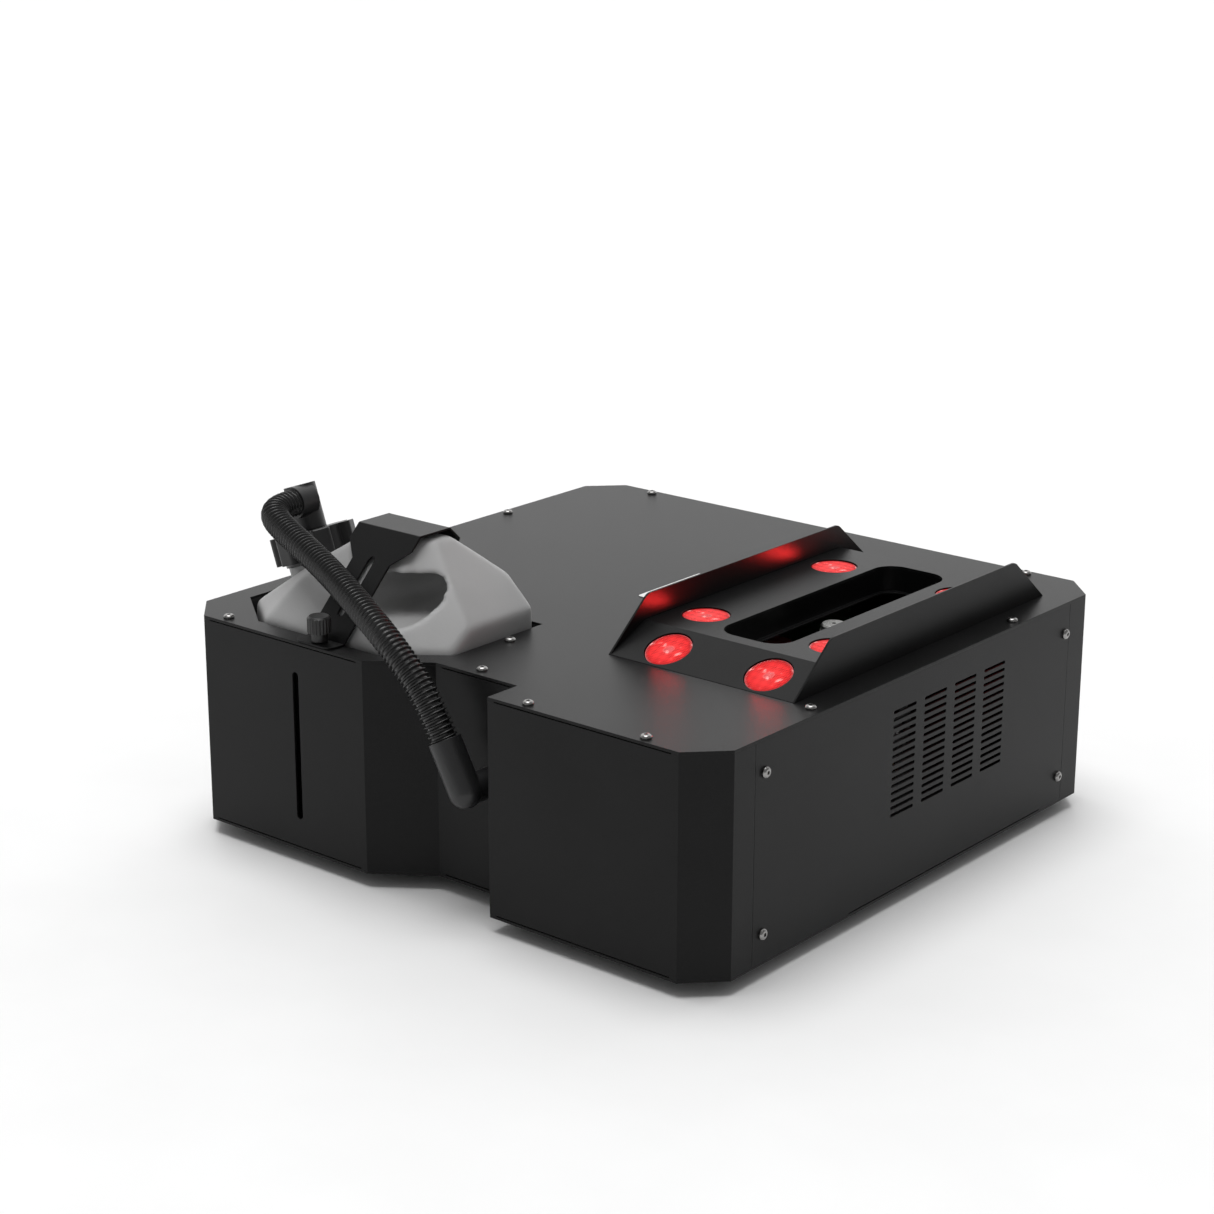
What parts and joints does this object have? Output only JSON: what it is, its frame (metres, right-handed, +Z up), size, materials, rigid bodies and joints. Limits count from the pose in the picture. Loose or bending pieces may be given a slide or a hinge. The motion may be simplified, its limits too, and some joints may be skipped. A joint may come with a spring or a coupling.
{
  "type": "fog machine",
  "caption": "Box-shaped fog machine with a motor-tilted nozzle in a lamp pod, and a strapped fluid jug with a feed hose.",
  "frame": {"origin": "on the floor, under the middle of the casing", "axes": "+X right, to the vented side that shows, -Y front, to the hose notch, +Z up"},
  "size_m": [0.4954, 0.4925, 0.2537],
  "materials": {
    "coated_steel": "fine textured black powder coat, satin",
    "bay_liner": "black coat",
    "foot_rubber": "matte",
    "bright_screw": "bright zinc",
    "red_lens": "red lit, faceted back",
    "circuit_board": "solder mask",
    "milky_plastic": "translucent, fine grain",
    "fluid": "clear fluid",
    "black_plastic": "satin",
    "hose_plastic": "corrugated, satin",
    "tube_plastic": "clear",
    "knob_black": "knurled",
    "bright_steel": "brushed",
    "nozzle_metal": "turned",
    "bush_brass": "turned",
    "cast_aluminium": "machined",
    "gear_plastic": "moulded",
    "pinion_brass": "cut",
    "motor_black": "satin",
    "relay_steel": "plated",
    "display_window": "smoked window",
    "button_plastic": "satin",
    "socket_metal": "black shell"
  },
  "bodies": {
    "housing": {"base_tray": "coated_steel", "front_wall": "coated_steel", "rear_wall": "coated_steel", "right_side_panel": "coated_steel", "left_side_panel": "coated_steel", "top_cover": "coated_steel", "led_pod": "coated_steel", "wing_left": "coated_steel", "wing_right": "coated_steel", "slot_shroud": "coated_steel", "jug_strap": "coated_steel", "bottle_bay": "bay_liner", "feet": "foot_rubber", "case_screws": "bright_screw", "lens_1": "red_lens", "lens_2": "red_lens", "lens_3": "red_lens", "lens_4": "red_lens", "lens_5": "red_lens", "lens_6": "red_lens", "lens_7": "red_lens", "lens_8": "red_lens", "led_boards": "circuit_board", "control_board": "circuit_board", "jug": "milky_plastic", "fog_fluid": "fluid", "cap_elbow": "black_plastic", "hose_elbow": "black_plastic", "bulkhead_fitting": "black_plastic", "fan_frame": "black_plastic", "mains_inlet": "black_plastic", "fuse_drawer": "black_plastic", "hose": "hose_plastic", "pickup_tube": "tube_plastic", "feed_tubes": "tube_plastic", "fog_pipe": "bright_steel", "tilt_frame": "bright_steel", "heater_legs": "bright_steel", "fan_guard": "bright_steel", "tilt_bushes": "bush_brass", "heater_block": "cast_aluminium", "stepper_motor": "motor_black", "pump": "motor_black", "power_supply": "relay_steel", "display": "display_window", "signal_sockets": "socket_metal"},
    "nozzle": {"nozzle_tip": "nozzle_metal", "nozzle_stem": "bright_steel", "tilt_cradle": "cast_aluminium", "tilt_shaft": "bright_steel", "driven_gear": "gear_plastic"},
    "pinion": {"motor_pinion": "pinion_brass"},
    "fan_wheel": {"fan_rotor": "black_plastic"},
    "rocker": {"power_rocker": "black_plastic"},
    "strap_screw": {"thumb_screw": "knob_black"},
    "cap": {"jug_cap": "black_plastic"},
    "button_1": {"menu_button_1": "button_plastic"},
    "button_2": {"menu_button_2": "button_plastic"},
    "button_3": {"menu_button_3": "button_plastic"},
    "button_4": {"menu_button_4": "button_plastic"}
  },
  "joints": [
    {"name": "nozzle_tilt", "type": "hinge", "parent": "housing", "child": "nozzle", "pos_m": [0.145, 0.033, 0.101], "axis": [1, 0, 0], "range_deg": [-45, 45]},
    {"name": "pinion_spin", "type": "hinge", "parent": "housing", "child": "pinion", "pos_m": [0.195, 0.033, 0.06885], "axis": [1, 0, 0], "range_deg": [-135, 135]},
    {"name": "fan_spin", "type": "hinge", "parent": "housing", "child": "fan_wheel", "pos_m": [-0.12, 0.23, 0.093], "axis": [0, 1, 0], "continuous": true},
    {"name": "rocker_tip", "type": "hinge", "parent": "housing", "child": "rocker", "pos_m": [0.165, 0.234, 0.101], "axis": [1, 0, 0], "range_deg": [0, 20]},
    {"name": "strap_screw_turn", "type": "hinge", "parent": "housing", "child": "strap_screw", "pos_m": [-0.109, -0.2334, 0.17], "axis": [0, 0, 1], "continuous": true},
    {"name": "cap_turn", "type": "hinge", "parent": "housing", "child": "cap", "pos_m": [-0.1996, -0.147, 0.204], "axis": [-0.3322, 0, 0.9432], "continuous": true},
    {"name": "button_1_press", "type": "slide", "parent": "housing", "child": "button_1", "axis": [0, -1, 0], "range_m": [0, 0.001], "stiffness_N_per_m": 400, "springref_m": -0.001},
    {"name": "button_2_press", "type": "slide", "parent": "housing", "child": "button_2", "axis": [0, -1, 0], "range_m": [0, 0.001], "stiffness_N_per_m": 400, "springref_m": -0.001},
    {"name": "button_3_press", "type": "slide", "parent": "housing", "child": "button_3", "axis": [0, -1, 0], "range_m": [0, 0.001], "stiffness_N_per_m": 400, "springref_m": -0.001},
    {"name": "button_4_press", "type": "slide", "parent": "housing", "child": "button_4", "axis": [0, -1, 0], "range_m": [0, 0.001], "stiffness_N_per_m": 400, "springref_m": -0.001}
  ],
  "couplings": [
    {"joint": "pinion_spin", "follows": "nozzle_tilt", "ratio": -3}
  ]
}
